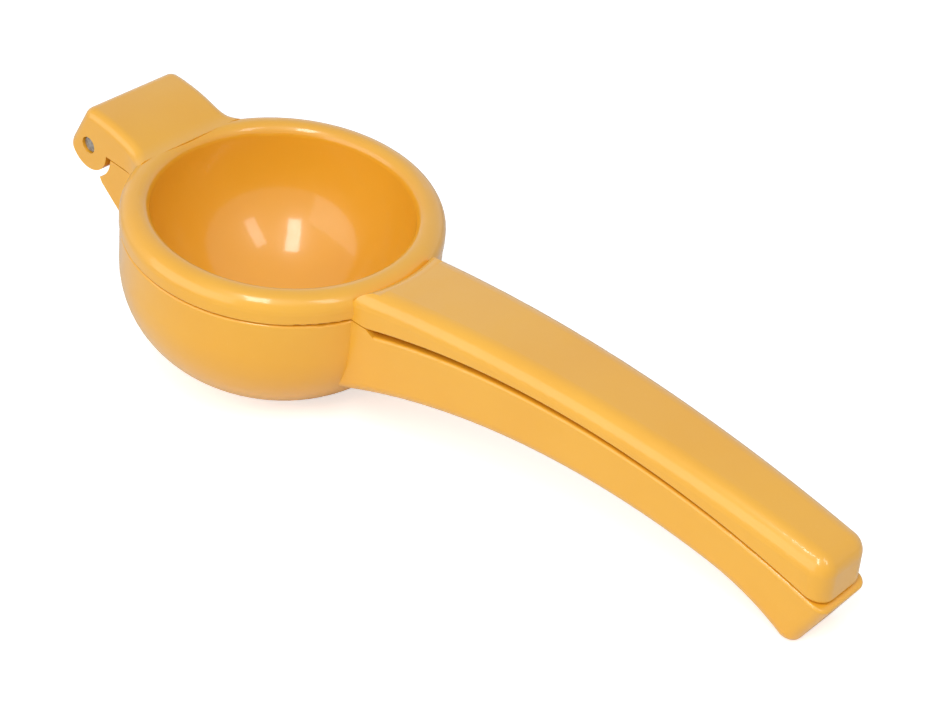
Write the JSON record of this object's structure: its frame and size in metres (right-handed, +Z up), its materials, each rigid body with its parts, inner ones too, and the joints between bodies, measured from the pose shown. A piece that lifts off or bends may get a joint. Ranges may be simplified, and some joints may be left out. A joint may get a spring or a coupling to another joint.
{
  "type": "hinged lemon squeezer",
  "caption": "Hand-held hinged citrus squeezer: a round press bowl with a handle closes over a perforated strainer cup with a matching handle, joined by a steel hinge pin.",
  "frame": {"origin": "middle of the flat foot ground on the floor of the cup, in the plane that the foot and the toe of the lower handle stand on", "axes": "+X from the hinge to the handle tips, +Y along the hinge pin, +Z up"},
  "size_m": [0.2317, 0.08, 0.061],
  "materials": {
    "press_enamel": "glossy yellow enamel on cast aluminium",
    "cup_enamel": "glossy yellow enamel on cast aluminium",
    "pin_steel": "bare steel"
  },
  "bodies": {
    "cup_body": {"cup_half": "cup_enamel"},
    "press_body": {"press_half": "press_enamel", "hinge_pin": "pin_steel"}
  },
  "joints": [
    {"name": "squeezer_hinge", "type": "hinge", "parent": "cup_body", "child": "press_body", "pos_m": [-0.05579, 0, 0.0508], "axis": [0, -1, 0], "range_deg": [0, 110]}
  ]
}
